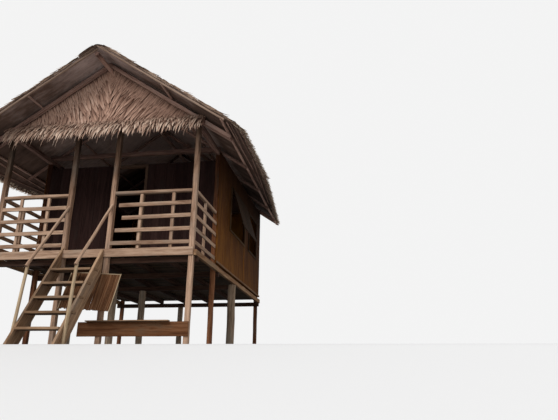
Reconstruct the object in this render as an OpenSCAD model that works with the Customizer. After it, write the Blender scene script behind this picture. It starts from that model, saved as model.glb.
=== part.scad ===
// Stilt house with a palm-thatch gable roof, an open veranda and a steep plank stair.
// Front (stair side) faces -Y, the ridge runs along Y, the ground is at z = 0.
// Lengths are in millimetres. Places along Y are first counted from the line of
// the veranda posts; at_origin() then moves every piece to the middle of the base.

/* [Plan] */
// Width between the centres of the outer posts
house_w = 3460; // [3000:20:4200]
// Depth of the veranda, from its post line to the posts of the front wall
veranda_d = 1230; // [1000:10:1600]
// Depth of the room, between the posts of its front and back walls
room_d = 3810; // [3200:10:4600]
// Place of the left stair post, left of the middle
stair_post_left_x = 461; // [420:1:520]
// Place of the right stair post, right of the middle
stair_post_right_x = 312; // [300:1:360]

/* [Heights] */
// Top of the floor boards above the lowest ground
floor_h = 1575; // [1400:5:1800]
// Top of the thatch along the ridge, before it is rounded
ridge_h = 5170; // [5000:10:5400]

/* [Timber] */
// Side of the squared posts
post_w = 80; // [70:1:100]
// Thickness of wall boards, rim board and rails
board_t = 22; // [18:1:30]
// Thickness of the floor boards
floor_t = 30; // [22:1:36]
// Height of the floor beams and joists
beam_h = 90; // [80:5:110]
// Diameter of the two log stilts at mid depth
log_d = 160; // [130:5:180]

/* [Railing] */
// Centre of the top pole above the floor
rail_h = 980; // [850:5:1100]
// Drop from each rail to the next
rail_gap = 218; // [180:1:240]
// Height of a rail board
rail_board_h = 66; // [50:1:90]
// Diameter of the top pole
rail_pole_d = 75; // [50:1:90]

/* [Stair] */
// Reach of the stair foot in front of the post line
stair_reach = 1140; // [1000:10:1300]
// Rise of one tread, as height over run of the slope
stair_slope = 1.49; // [1.3:0.01:1.7]
// Distance from tread to tread, straight up
tread_gap = 243; // [220:1:260]
// Depth of a tread, front to back
tread_d = 215; // [160:5:230]
// Width of the stringer planks
stringer_w = 230; // [180:5:260]

/* [Openings] */
// Width of the doorway
door_w = 605; // [560:5:700]
// Height of the doorway
door_h = 1975; // [1850:5:2000]
// Sill of the windows above the ground
window_sill_z = 2490; // [2400:10:2600]
// Height of the windows
window_h = 840; // [700:10:900]
// Swing of the top-hung shutters, fixed part open
shutter_angle = 17; // [5:1:30]

/* [Roof] */
// Pitch of both slopes
roof_pitch = 34.5; // [33:0.5:36]
// Thickness of the thatch, square to the slope
thatch_t = 45; // [40:5:80]
// Courses of leaf shingles on a slope
course_count = 12; // [8:1:16]
// Step from one course to the next
course_step = 16; // [10:1:24]
// Eave beyond the outer posts at the front
eave_front = 920; // [800:10:1000]
// Eave beyond the outer posts at the back
eave_back = 480; // [460:10:700]
// Roof in front of the post line, on the right slope and along the ridge
verge_front = 600; // [500:10:700]
// Roof in front of the post line, on the left slope
verge_front_left = 555; // [500:5:700]
// Roof behind the posts of the back wall
verge_back = 560; // [400:10:600]

/* [Hidden] */

// Working values of the plan
$fn = 32;
clear = 1;
post_x = house_w / 2;
post_r = post_w / 2;
outer_face = post_x + post_r;
wall_face = outer_face + board_t;
front_row = veranda_d;
back_row = veranda_d + room_d;
mid_row = 2600;
inner_x = -150;
inner_d = 130;
front_wall_y = front_row - post_r;
back_wall_y = back_row + post_r;
y_front = -stair_reach;
y_back = back_row + verge_back;

// Levels of the floor frame, from the boards down
joist_top = floor_h - floor_t;
cross_top = joist_top - beam_h;
cross_bottom = cross_top - beam_h;
cross_t = 60;
side_beam_t = 55;

// Levels of the roof frame, counted square to the slope from the top of the thatch
pitch_tan = tan(roof_pitch);
pitch_cos = cos(roof_pitch);
purlin_d = 45;
rafter_d = 60;
rafter_flat = 3;
rafter_deep = thatch_t + purlin_d;
frame_deep = rafter_deep + rafter_d - rafter_flat;
plate_top = roof_z(post_x, frame_deep);
plate_h = 90;
plate_bottom = plate_top - plate_h;
tie_h = 76;
purlin_xs = [1220];
eave_purlin_front = 2270;
eave_purlin_back = 2140;
rafter_ys = [-75, 80, 1330, 2640, 3890, 4960];
rafter_tail = 60;
over_ridge = 80;

// Values of the stair
stringer_t = 40;
stringer_left_x = -stair_post_left_x;
stringer_right_in = 57;
stringer_right_x = stair_post_right_x - stringer_right_in;
tread_t = 38;
tread_nosing = 40;
tread_count = 5;
first_tread_z = 256;
tenon_w = 120;
tenon_out = 3;
pole_d = 48;
newel_h = 1190;
newel_sink = 4;
handrail_top_z = 2380;

// Height of a surface lying "deep" below the top of the thatch, at x from the middle
function roof_z(x, deep) = ridge_h - abs(x) * pitch_tan - deep / pitch_cos;

// Place of the eave purlin, which draws in with the eave towards the back
function eave_purlin_x(y) = eave_purlin_front
    + (eave_purlin_back - eave_purlin_front) * (y + verge_front) / (y_back + verge_front);

// Moves the house so that the middle of its box stands on the origin
module at_origin() {
    translate([0, -(y_front + y_back) / 2, 0]) children();
}

// Block between two corners
module block(low, high) {
    translate(low) cube(high - low);
}

// Keeps a piece and adds its mirror image on the other side of the middle
module both_sides() {
    children();
    mirror([1, 0, 0]) children();
}

// Round pole from one point to another
module pole(from, to, d) {
    way = to - from;
    length = norm(way);
    translate(from)
        rotate([0, acos(way.z / length), atan2(way.y, way.x)])
            cylinder(d = d, h = length);
}

// Squared post with its foot at z = low
module post(x, y, low, high) {
    block([x - post_r, y - post_r, low], [x + post_r, y + post_r, high]);
}

// Posts of the veranda: two at the corners and two beside the stair
module veranda_post_solids() {
    both_sides() post(post_x, 0, 0, plate_bottom);
    post(-stair_post_left_x, 0, 0, plate_top);
    post(stair_post_right_x, 0, 0, plate_top);
}

module veranda_posts() {
    color("tan") at_origin() veranda_post_solids();
}

// Posts at the four corners of the room
module room_post_solids() {
    both_sides() {
        post(post_x, front_row, 0, plate_bottom);
        post(post_x, back_row, 0, plate_bottom);
    }
}

module room_posts() {
    color("peru") at_origin() room_post_solids();
}

// Studs inside the side walls, between the windows, and inside the back wall
stud_w = 60;
stud_y = 3580;
back_stud_x = 600;
module wall_studs() {
    color("sienna") at_origin() both_sides() {
        block([outer_face - stud_w, stud_y - stud_w / 2, floor_h],
              [outer_face, stud_y + stud_w / 2, plate_bottom]);
        block([back_stud_x - stud_w / 2, back_wall_y - stud_w, floor_h],
              [back_stud_x + stud_w / 2, back_wall_y, plate_top]);
    }
}

// Log stilts under the side beams at mid depth
log_x = outer_face + side_beam_t - log_d / 2;
module mid_stilts() {
    color("gray") at_origin() both_sides()
        translate([log_x, mid_row, 0]) cylinder(d = log_d, h = cross_top);
}

// Round stilts under the middle of the cross beams
function beam_y(row) = row == 1 ? front_row + post_r + cross_t / 2
    : row == 2 ? mid_row : back_row - post_r - cross_t / 2;
module inner_stilts() {
    color("dimgray") at_origin()
        for (row = [1:3])
            translate([inner_x, beam_y(row), 0]) cylinder(d = inner_d, h = cross_bottom);
}

// Beams across the house; the middle one is coped to the logs
module cross_beams() {
    reach = outer_face + side_beam_t;
    color("burlywood") at_origin() {
        block([-reach, post_r, cross_bottom], [reach, post_r + cross_t, cross_top]);
        for (row = [1, 3])
            block([-reach, beam_y(row) - cross_t / 2, cross_bottom],
                  [reach, beam_y(row) + cross_t / 2, cross_top]);
        difference() {
            block([-log_x, mid_row - cross_t / 2, cross_bottom],
                  [log_x, mid_row + cross_t / 2, cross_top]);
            both_sides() translate([log_x, mid_row, 0]) cylinder(d = log_d, h = floor_h);
        }
    }
}

// Long beams outside the posts, and the strips nailed along the feet of the side walls
strip_h = 40;
strip_t = 20;
wall_foot_z = floor_h + 30;
module side_beams() {
    color("burlywood") at_origin() both_sides() {
        block([outer_face, -post_r, cross_top],
              [outer_face + side_beam_t, back_wall_y + board_t, joist_top]);
        block([wall_face, front_wall_y, wall_foot_z],
              [wall_face + strip_t, back_wall_y + board_t, wall_foot_z + strip_h]);
    }
}

// Joists along the house, on the cross beams
joist_w = 60;
joist_xs = [-1240, -640, -40, 560, 1160];
module floor_joists() {
    color("tan") at_origin()
        for (x = joist_xs)
            block([x - joist_w / 2, post_r + clear, cross_top],
                  [x + joist_w / 2, back_row - post_r, joist_top]);
}

// Floor boards, notched round the posts
module floor_slab(y0, y1) {
    difference() {
        block([-outer_face, y0, joist_top], [outer_face, y1, floor_h]);
        veranda_post_solids();
        room_post_solids();
    }
}

module veranda_floor() {
    color("tan") at_origin() floor_slab(-post_r, front_wall_y);
}

module room_floor() {
    color("sienna") at_origin() floor_slab(front_wall_y, back_wall_y);
}

// Board across the front edge of the floor
rim_h = 135;
rim_over = 15;
rim_top = floor_h + rim_over;
rim_front = -post_r - board_t;
module rim_board() {
    color("burlywood") at_origin()
        block([-outer_face, rim_front, rim_top - rim_h], [outer_face, -post_r, rim_top]);
}

// Front railing: a top pole over short balusters, with rail boards on their front.
// On the right of the stair each rail starts its own length beyond the post.
baluster_w = 50;
baluster_t = 40;
baluster_xs_left = [-1368, -862];
baluster_xs_right = [817, 1370];
rail_starts_left = [0, 0, 0, 0];
rail_starts_right = [90, 160, 60, 0];
rail_count = 4;
module railing_front(x0, x1, starts, balusters) {
    top_z = floor_h + rail_h;
    pole([x0, 0, top_z], [x1, 0, top_z], rail_pole_d);
    for (k = [1:rail_count])
        block([x0 + starts[k - 1], -baluster_t / 2 - board_t, top_z - k * rail_gap - rail_board_h / 2],
              [x1, -baluster_t / 2, top_z - k * rail_gap + rail_board_h / 2]);
    for (x = balusters)
        block([x - baluster_w / 2, -baluster_t / 2, floor_h],
              [x + baluster_w / 2, baluster_t / 2, top_z]);
}

module railing_front_left() {
    color("burlywood") at_origin()
        railing_front(post_r - post_x, -stair_post_left_x - post_r,
                      rail_starts_left, baluster_xs_left);
}

module railing_front_right() {
    color("burlywood") at_origin()
        railing_front(stair_post_right_x + post_r, post_x - post_r,
                      rail_starts_right, baluster_xs_right);
}

// Side railing, from the corner post to the front wall, with one baluster half way
module railing_side() {
    top_z = floor_h + rail_h;
    baluster_y = front_wall_y / 2;
    pole([post_x, post_r, top_z], [post_x, front_wall_y, top_z], rail_pole_d);
    for (k = [1:rail_count])
        block([post_x + baluster_t / 2, post_r, top_z - k * rail_gap - rail_board_h / 2],
              [outer_face, front_wall_y, top_z - k * rail_gap + rail_board_h / 2]);
    block([post_x - baluster_t / 2, baluster_y - baluster_w / 2, floor_h],
          [post_x + baluster_t / 2, baluster_y + baluster_w / 2, top_z]);
}

module railing_side_left() {
    color("burlywood") at_origin() mirror([1, 0, 0]) railing_side();
}

module railing_side_right() {
    color("burlywood") at_origin() railing_side();
}

// Stair: y of the front edge of the stringers at height z
function stair_y(z) = -stair_reach + z / stair_slope;
function tread_z(k) = first_tread_z + (k - 1) * tread_gap;

// Board of one tread, with a tenon through each stringer
module tread(k) {
    z = tread_z(k);
    y = stair_y(z) - tread_nosing;
    tenon_y = y + tread_d / 2;
    x0 = stringer_left_x + stringer_t / 2;
    x1 = stringer_right_x - stringer_t / 2;
    block([x0, y, z - tread_t], [x1, y + tread_d, z]);
    tread_tenons(tenon_y, z);
}

module tread_tenons(y, z) {
    block([stringer_left_x - stringer_t / 2 - tenon_out, y - tenon_w / 2, z - tread_t],
          [stringer_right_x + stringer_t / 2 + tenon_out, y + tenon_w / 2, z]);
}

module stair_treads() {
    color("rosybrown") at_origin() for (k = [1:tread_count]) tread(k);
}

// Plank standing on the ground and against the rim board, mortised for the treads. Its head
// is given as points from the face of the rim board to the front edge of the plank.
head_at_floor = [[rim_front, floor_h], [stair_y(floor_h), floor_h]];
head_over_rim = [[rim_front, rim_top], [-post_r, rim_top],
                 [-post_r, (stair_reach - post_r) * stair_slope]];
module stringer(x, head) {
    across = stringer_w * sqrt(1 + pow(1 / stair_slope, 2));
    difference() {
        translate([x - stringer_t / 2, 0, 0])
            rotate([90, 0, 90])
                linear_extrude(height = stringer_t)
                    polygon(concat([[stair_y(0), 0], [stair_y(0) + across, 0],
                             [rim_front, (rim_front - stair_y(0) - across) * stair_slope]],
                             head));
        for (k = [1:tread_count])
            tread_tenons(stair_y(tread_z(k)) - tread_nosing + tread_d / 2, tread_z(k));
        newel_left();
        newel_right();
    }
}

module stringer_left() {
    color("rosybrown") at_origin() stringer(stringer_left_x, head_over_rim);
}

module stringer_right() {
    color("gray") at_origin() stringer(stringer_right_x, head_at_floor);
}

// Newels lean against the outer faces of the stringers, let in a little
newel_left_x = stringer_left_x - stringer_t / 2 - pole_d / 2 + newel_sink;
newel_right_x = stringer_right_x + stringer_t / 2 + pole_d / 2 - newel_sink;
newel_left_foot = [newel_left_x, -962, 0];
newel_left_head = [newel_left_x, -832, newel_h];
newel_right_foot = [newel_right_x, -950, 0];
newel_right_head = [newel_right_x, -850, newel_h];

// A pole whose foot is cut level on the ground
module leaning_pole(foot, head) {
    below = foot - (head - foot) * 0.05;
    intersection() {
        pole(below, head, pole_d);
        block([foot.x - pole_d, foot.y - 500, 0], [foot.x + pole_d, foot.y + 500, floor_h]);
    }
}

module newel_left() {
    leaning_pole(newel_left_foot, newel_left_head);
}

module newel_right() {
    leaning_pole(newel_right_foot, newel_right_head);
}

module stair_newels() {
    color("tan") at_origin() difference() {
        union() {
            newel_left();
            newel_right();
        }
        handrail_solids();
    }
}

// Handrails from the heads of the newels to the front faces of the stair posts
handrail_right_of_post = 9;
module handrail(newel_head, post_at_x) {
    lower_end = newel_head + [0, -40, -40];
    upper_end = [post_at_x + handrail_right_of_post, 0, handrail_top_z];
    intersection() {
        pole(lower_end, upper_end, pole_d);
        block([lower_end.x - 200, lower_end.y - 200, lower_end.z - 200],
              [lower_end.x + 200, -post_r, handrail_top_z + 200]);
    }
}

module handrail_solids() {
    handrail(newel_left_head, -stair_post_left_x);
    handrail(newel_right_head, stair_post_right_x);
}

module stair_handrails() {
    color("tan") at_origin() handrail_solids();
}

// Front wall of the room, boarded between the posts on both sides of the doorway. It stops
// level with the door frame, and the roof space above it stays open.
door_x0 = -310;
door_x1 = door_x0 + door_w;
door_top = floor_h + door_h;
casing_w = 50;
module front_wall_part(x0, x1) {
    color("saddlebrown") at_origin()
        block([x0, front_wall_y, floor_h], [x1, front_wall_y + board_t, door_top + casing_w]);
}

module front_wall_left() {
    front_wall_part(post_r - post_x, door_x0 - casing_w);
}

module front_wall_right() {
    front_wall_part(door_x1 + casing_w, post_x - post_r);
}

// Frame of the open doorway: two jambs and a head between the wall boards
module door_frame() {
    y0 = front_wall_y - 12;
    y1 = front_row + post_r;
    color("peru") at_origin() {
        block([door_x0 - casing_w, y0, floor_h], [door_x0, y1, door_top]);
        block([door_x1, y0, floor_h], [door_x1 + casing_w, y1, door_top]);
        block([door_x0 - casing_w, y0, door_top],
              [door_x1 + casing_w, y1, door_top + casing_w]);
    }
}

// Side walls: boards outside the posts. Two windows are cut through the right wall and one
// through the left wall, whose back half is closed.
side_wall_top = roof_z(wall_face, frame_deep);
windows_right = [[2100, 3340], [3800, 4600]];
windows_left = [windows_right[0]];
module window_holes(spans, grow) {
    for (span = spans)
        block([0, span[0] - grow, window_sill_z - grow],
              [house_w, span[1] + grow, window_sill_z + window_h + grow]);
}

module side_wall(spans) {
    difference() {
        block([outer_face, front_wall_y, wall_foot_z],
              [wall_face, back_wall_y + board_t, side_wall_top]);
        window_holes(spans, 0);
    }
}

module wall_left() {
    color("chocolate") at_origin() mirror([1, 0, 0]) side_wall(windows_left);
}

module wall_right() {
    color("chocolate") at_origin() side_wall(windows_right);
}

module back_wall() {
    color("chocolate") at_origin() difference() {
        block([-outer_face, back_wall_y, wall_foot_z],
              [outer_face, back_wall_y + board_t, plate_top + tie_h]);
        wall_plate_solids();
    }
}

// Casings nailed round the windows on the outside
window_casing = 45;
casing_t = 18;
module casings(spans) {
    difference() {
        intersection() {
            window_holes(spans, window_casing);
            block([wall_face, 0, 0], [wall_face + casing_t, y_back, ridge_h]);
        }
        window_holes(spans, 0);
    }
}

module window_frames() {
    color("sienna") at_origin() {
        casings(windows_right);
        mirror([1, 0, 0]) casings(windows_left);
    }
}

// Shutters of the front windows, hung from the top of the casing and standing part open
shutter_t = 20;
module window_shutters() {
    span = windows_left[0];
    hinge_z = window_sill_z + window_h + window_casing;
    color("sienna") at_origin() both_sides()
        translate([wall_face + casing_t, 0, hinge_z])
            rotate([0, -shutter_angle, 0])
                block([0, span[0], -window_h - window_casing], [shutter_t, span[1], 0]);
}

// Plates along the tops of the side walls, running out under the first rafters
plate_over = 125;
module wall_plate_solids() {
    both_sides()
        block([post_x - post_r, -plate_over, plate_bottom],
              [post_x + post_r, back_wall_y + plate_over - post_w, plate_top]);
}

module wall_plates() {
    color("tan") at_origin() wall_plate_solids();
}

// Tie beams across the house, on the plates and over the posts
module tie_beams() {
    color("tan") at_origin()
        for (y = [0, front_row, back_row])
            block([-outer_face, y - post_r, plate_top], [outer_face, y + post_r, plate_top + tie_h]);
}

// Pole under the meeting rafters
ridge_pole_d = 80;
module ridge_pole_solid() {
    z = roof_z(0, frame_deep) - ridge_pole_d / 2 / pitch_cos;
    pole([0, -verge_front + 20, z], [0, y_back - 20, z], ridge_pole_d);
}

module ridge_pole() {
    color("peru") at_origin() ridge_pole_solid();
}

// A section drawn out along the right slope at y, from a plumb cut at x0 down to x1.
// "deep" is the depth of its upper side below the top of the thatch.
module along_slope(x0, x1, y, deep) {
    difference() {
        translate([-over_ridge, y, ridge_h + over_ridge * pitch_tan - deep / pitch_cos])
            rotate([0, 90 + roof_pitch, 0])
                linear_extrude(height = (x1 + over_ridge) / pitch_cos) children();
        block([-2 * over_ridge, y - over_ridge, 0],
              [x0, y + over_ridge, ridge_h + 2 * over_ridge]);
    }
}

// Section of a round pole with its upper side adzed flat
module flattened_pole(d) {
    difference() {
        translate([d / 2 - rafter_flat, 0]) circle(d = d);
        translate([-d, -d]) square([d, 2 * d]);
    }
}

// Rafters of one slope, notched over the plates. The first one is squared, and the gable
// leaves hang behind it.
module rafters() {
    difference() {
        for (y = rafter_ys)
            along_slope(0, eave_purlin_x(y) + rafter_tail, y, rafter_deep)
                if (y == rafter_ys[0])
                    translate([0, -rafter_d / 2]) square([rafter_d - rafter_flat, rafter_d]);
                else
                    flattened_pole(rafter_d);
        wall_plate_solids();
    }
}

module rafters_left() {
    color("tan") at_origin() mirror([1, 0, 0]) rafters();
}

module rafters_right() {
    color("tan") at_origin() rafters();
}

// Thin poles close under the thatch along the open edges of the roof
rake_inset = 22;
rake_d = 36;
module rake_pole_solids(front) {
    difference() {
        for (y = [-front + rake_inset, y_back - rake_inset])
            along_slope(clear, eave_purlin_x(y) + rafter_tail, y, thatch_t) flattened_pole(rake_d);
        along_ridge() cap_section();
    }
}

module rake_poles() {
    color("burlywood") at_origin() {
        rake_pole_solids(verge_front);
        mirror([1, 0, 0]) rake_pole_solids(verge_front_left);
    }
}

// Purlins along one slope, between the rafters and the thatch, their ends coped to the
// rake poles
purlin_cope = 6;
module purlins(front) {
    deep = thatch_t + purlin_d / 2;
    y0 = -front + rake_inset + rake_d / 2 - purlin_cope;
    y1 = y_back - rake_inset - rake_d / 2 + purlin_cope;
    difference() {
        union() {
            for (x = purlin_xs)
                pole([x, y0, roof_z(x, deep)], [x, y1, roof_z(x, deep)], purlin_d);
            pole([eave_purlin_x(y0), y0, roof_z(eave_purlin_x(y0), deep)],
                 [eave_purlin_x(y1), y1, roof_z(eave_purlin_x(y1), deep)], purlin_d);
        }
        rake_pole_solids(front);
    }
}

module purlins_left() {
    color("tan") at_origin() mirror([1, 0, 0]) purlins(verge_front_left);
}

module purlins_right() {
    color("tan") at_origin() purlins(verge_front);
}

// Plan of a slope whose roof starts that far in front of the post line: full eave over
// the veranda, drawn in towards the back
eave_bend_y = 1400;
eave_x_front = post_x + eave_front;
eave_x_back = post_x + eave_back;
corner_cut = 120;
module slope_plan(front) {
    polygon([[0, -front], [eave_x_front - corner_cut, -front],
             [eave_x_front, -front + corner_cut], [eave_x_front, eave_bend_y],
             [eave_x_back, y_back], [0, y_back]]);
}

// Section of the thatch, square to the ridge: level underneath the slope, and stepped on
// top where each course of leaf shingles laps over the one below it
cap_t = 26;
cap_reach = 330;
slope_len = (eave_x_front + 40) / pitch_cos;
course_len = slope_len / course_count;
module thatch_section() {
    steps = [for (k = [0:course_count - 1], end = [0, 1])
        [k * course_len + (end == 0 ? 0 : course_len), end == 0 ? -course_step : 0]];
    translate([0, ridge_h])
        rotate(-roof_pitch)
            polygon(concat([[0, -thatch_t]], steps, [[slope_len, -thatch_t]]));
}

module thatch_slope(front) {
    difference() {
        intersection() {
            along_ridge() thatch_section();
            linear_extrude(height = ridge_h) slope_plan(front);
        }
        along_ridge() cap_clearance();
    }
}

module thatch_left() {
    color("rosybrown") at_origin() mirror([1, 0, 0]) thatch_slope(verge_front_left);
}

module thatch_right() {
    color("rosybrown") at_origin() thatch_slope(verge_front);
}

// Bent cap of leaves over the ridge, rounded along the top
cap_round = 140;
cap_round_r = cap_round / sin(roof_pitch);
cap_chord_z = roof_z(cap_round, 0);
cap_top = cap_chord_z + cap_round_r * (1 - pitch_cos);
cap_flat_z = cap_top - 1.4 * cap_t;
cap_flat_x = (roof_z(0, cap_t) - cap_flat_z) / pitch_tan;

// Top of the cap from left to right: two straight flanks and an arc between them
cap_arc_steps = 10;
cap_outer = concat([[-cap_reach, roof_z(cap_reach, 0)]],
    [for (k = [0:cap_arc_steps])
        let (a = roof_pitch * (2 * k / cap_arc_steps - 1))
        [cap_round_r * sin(a), cap_chord_z + cap_round_r * (cos(a) - pitch_cos)]],
    [[cap_reach, roof_z(cap_reach, 0)]]);

// Top of what lies under the cap, from right to left
cap_inner = [[cap_reach, roof_z(cap_reach, cap_t)], [cap_flat_x, cap_flat_z],
             [-cap_flat_x, cap_flat_z], [-cap_reach, roof_z(cap_reach, cap_t)]];

module cap_section() {
    polygon(concat(cap_outer, cap_inner));
}

// Everything above the bed of the cap
module cap_clearance() {
    polygon(concat(cap_inner, [[-cap_reach, ridge_h + cap_t], [cap_reach, ridge_h + cap_t]]));
}

// A section in x and z drawn out along the whole ridge
module along_ridge() {
    translate([0, y_back, 0]) rotate([90, 0, 0])
        linear_extrude(height = y_back + verge_front) children();
}

module ridge_cap() {
    color("rosybrown") at_origin() along_ridge() cap_section();
}

// Outline of a gable end: everything deeper than "deep" below the top of the thatch
module gable_outline(reach, low, deep) {
    polygon([[-reach, low], [-reach, roof_z(reach, deep)], [0, roof_z(0, deep)],
             [reach, roof_z(reach, deep)], [reach, low]]);
}

// Section of the laps of a gable panel, counted inwards from the rake: each course of leaves
// is thin where it is tied on and thick where it hangs over the next one
gable_low = plate_top + tie_h;
gable_thin = 20;
gable_thick = 42;
gable_laps = 7;
module gable_lap_section(across) {
    lap = across / gable_laps;
    polygon(concat([[0, 0]],
        [for (k = [0:gable_laps - 1], end = [0, 1])
            [(k + end) * lap, end == 0 ? gable_thin : gable_thick]],
        [[across, 0]]));
}

// Right half of a gable panel: the courses run parallel to the rake, square to it hang
// the leaves
gable_reach = 1700;
module gable_half() {
    across = (roof_z(0, rafter_deep) - gable_low) * pitch_cos + gable_thick;
    intersection() {
        translate([gable_reach, 0, roof_z(gable_reach, rafter_deep)])
            rotate([0, roof_pitch - 90, 0]) rotate([0, 0, 180])
                linear_extrude(height = 2 * gable_reach) gable_lap_section(across);
        block([0, -2 * gable_thick, gable_low], [gable_reach, gable_thick, ridge_h]);
    }
}

// Leaf panel of a gable, its back on the plane y = 0, standing on the tie beam
module gable_panel() {
    intersection() {
        both_sides() gable_half();
        translate([0, gable_thick, 0]) rotate([90, 0, 0])
            linear_extrude(height = 3 * gable_thick)
                gable_outline(gable_reach, gable_low, rafter_deep);
    }
}

module gable_thatch_front() {
    color("rosybrown") at_origin() difference() {
        gable_panel();
        ridge_pole_solid();
    }
}

module gable_thatch_back() {
    color("rosybrown") at_origin() difference() {
        translate([0, back_row, 0]) mirror([0, 1, 0]) gable_panel();
        ridge_pole_solid();
    }
}

// Skirt of leaves hung on the front of the tie beam, leaning out over the veranda edge.
// Its section is given as steps out from the beam and heights.
skirt_reach = 1880;
skirt_low = 3560;
skirt_high = 3888;
skirt_head_t = 40;
skirt_shoulder = 150;
skirt_lip = 185;
skirt_foot = 130;
skirt_lip_h = 110;
module front_skirt() {
    color("rosybrown") at_origin() difference() {
        intersection() {
            translate([-skirt_reach, -post_r, 0]) rotate([90, 0, 90])
                linear_extrude(height = 2 * skirt_reach)
                    polygon([[0, skirt_high - skirt_foot], [0, skirt_high],
                             [-skirt_head_t, skirt_high],
                             [-skirt_shoulder, skirt_low + skirt_lip_h],
                             [-skirt_lip, skirt_low], [-skirt_foot, skirt_low]]);
            translate([0, 500, 0]) rotate([90, 0, 0])
                linear_extrude(height = 1000)
                    gable_outline(skirt_reach, skirt_low, frame_deep);
        }
        wall_plate_solids();
    }
}

// Plank on edge across the feet of the right-hand front posts, with a cap board
module base_board() {
    x0 = -20;
    low = 205;
    high = 425;
    cap_x0 = 130;
    cap_x1 = 1470;
    cap_w = 95;
    cap_h = 18;
    color("indianred") at_origin() {
        block([x0, -post_r - board_t, low], [outer_face, -post_r, high]);
        block([cap_x0, -post_r - cap_w, high], [cap_x1, -post_r, high + cap_h]);
    }
}

// Reed screen behind the stair, leaning out from the face of the right stair post and hanging
// a little askew: its top edge lies on that face and falls to the right
screen_t = 16;
screen_w = 860;
screen_len = 650;
screen_lean = 18;
screen_askew = 4;
screen_x = -240;
screen_top_z = 1225;
module reed_screen() {
    color("rosybrown") at_origin()
        translate([screen_x, -post_r, screen_top_z])
            rotate([-screen_lean, screen_askew, 0])
                block([0, -screen_t, -screen_len], [screen_w, 0, 0]);
}

veranda_posts();
room_posts();
wall_studs();
mid_stilts();
inner_stilts();
cross_beams();
side_beams();
floor_joists();
veranda_floor();
room_floor();
rim_board();
railing_front_left();
railing_front_right();
railing_side_left();
railing_side_right();
stringer_left();
stringer_right();
stair_treads();
stair_newels();
stair_handrails();
front_wall_left();
front_wall_right();
door_frame();
wall_left();
wall_right();
back_wall();
window_frames();
window_shutters();
wall_plates();
tie_beams();
ridge_pole();
rafters_left();
rafters_right();
rake_poles();
purlins_left();
purlins_right();
thatch_left();
thatch_right();
ridge_cap();
gable_thatch_front();
gable_thatch_back();
front_skirt();
base_board();
reed_screen();
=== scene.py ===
import math

import bmesh
import bpy
import numpy as np
from mathutils import Matrix, Vector, noise


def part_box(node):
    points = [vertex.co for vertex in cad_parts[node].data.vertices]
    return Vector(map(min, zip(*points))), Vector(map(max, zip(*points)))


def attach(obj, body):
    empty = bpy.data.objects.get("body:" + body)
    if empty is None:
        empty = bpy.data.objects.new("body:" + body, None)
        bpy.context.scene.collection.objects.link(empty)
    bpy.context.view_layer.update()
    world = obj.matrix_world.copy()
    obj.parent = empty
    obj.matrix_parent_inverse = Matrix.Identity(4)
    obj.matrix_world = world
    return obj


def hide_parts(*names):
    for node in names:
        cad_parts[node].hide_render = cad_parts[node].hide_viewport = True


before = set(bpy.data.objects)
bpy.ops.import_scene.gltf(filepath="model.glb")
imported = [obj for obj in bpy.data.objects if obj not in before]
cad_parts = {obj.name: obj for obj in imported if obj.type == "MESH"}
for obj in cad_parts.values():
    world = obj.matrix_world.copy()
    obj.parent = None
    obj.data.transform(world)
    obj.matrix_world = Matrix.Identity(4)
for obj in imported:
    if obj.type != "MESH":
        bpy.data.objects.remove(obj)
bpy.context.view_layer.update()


# The camera stands downhill, to the right of the stair and lower than the foot of the
# house, and looks up at the gable.
def placed(name, data):
    """An object that shows the data, put into the scene."""
    made = bpy.data.objects.new(name, data)
    bpy.context.scene.collection.objects.link(made)
    return made


stands_at = (4.446, -10.214, -0.513)
yaw = math.radians(-9.3946)
pitch = math.radians(18.2297)
roll = math.radians(0.6437)
ahead = Vector((math.sin(yaw) * math.cos(pitch), math.cos(yaw) * math.cos(pitch),
                math.sin(pitch)))
level = Vector((math.cos(yaw), -math.sin(yaw), 0))
rightwards = math.cos(roll) * level + math.sin(roll) * level.cross(ahead)
upwards = rightwards.cross(ahead)
camera = placed("camera", bpy.data.cameras.new("camera"))
camera.matrix_world = Matrix.Translation(stands_at) @ Matrix(
    (rightwards, upwards, -ahead)).transposed().to_4x4()
camera.data.sensor_width = 36
camera.data.lens = 34.825
camera.data.clip_end = 300
bpy.context.scene.camera = camera


# Squared posts, dressed with an axe: they carry plates and floor. They are weathered
# grey-brown, with painted shade that darkens them towards their tops under the roof and the
# leaf skirt.
class Tap:
    """An output of a material's nodes. Sums written with it become Math nodes."""

    def __init__(self, finish, socket):
        self.finish = finish
        self.socket = socket

    def sum_of(self, operation, first, second):
        return self.finish.node("ShaderNodeMath", {"operation": operation}, {0: first, 1: second})

    def __add__(self, other):
        return self.sum_of("ADD", self, other)

    def __sub__(self, other):
        return self.sum_of("SUBTRACT", self, other)

    def __rsub__(self, other):
        return self.sum_of("SUBTRACT", other, self)

    def __mul__(self, other):
        return self.sum_of("MULTIPLY", self, other)

    __radd__ = __add__
    __rmul__ = __mul__


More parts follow.
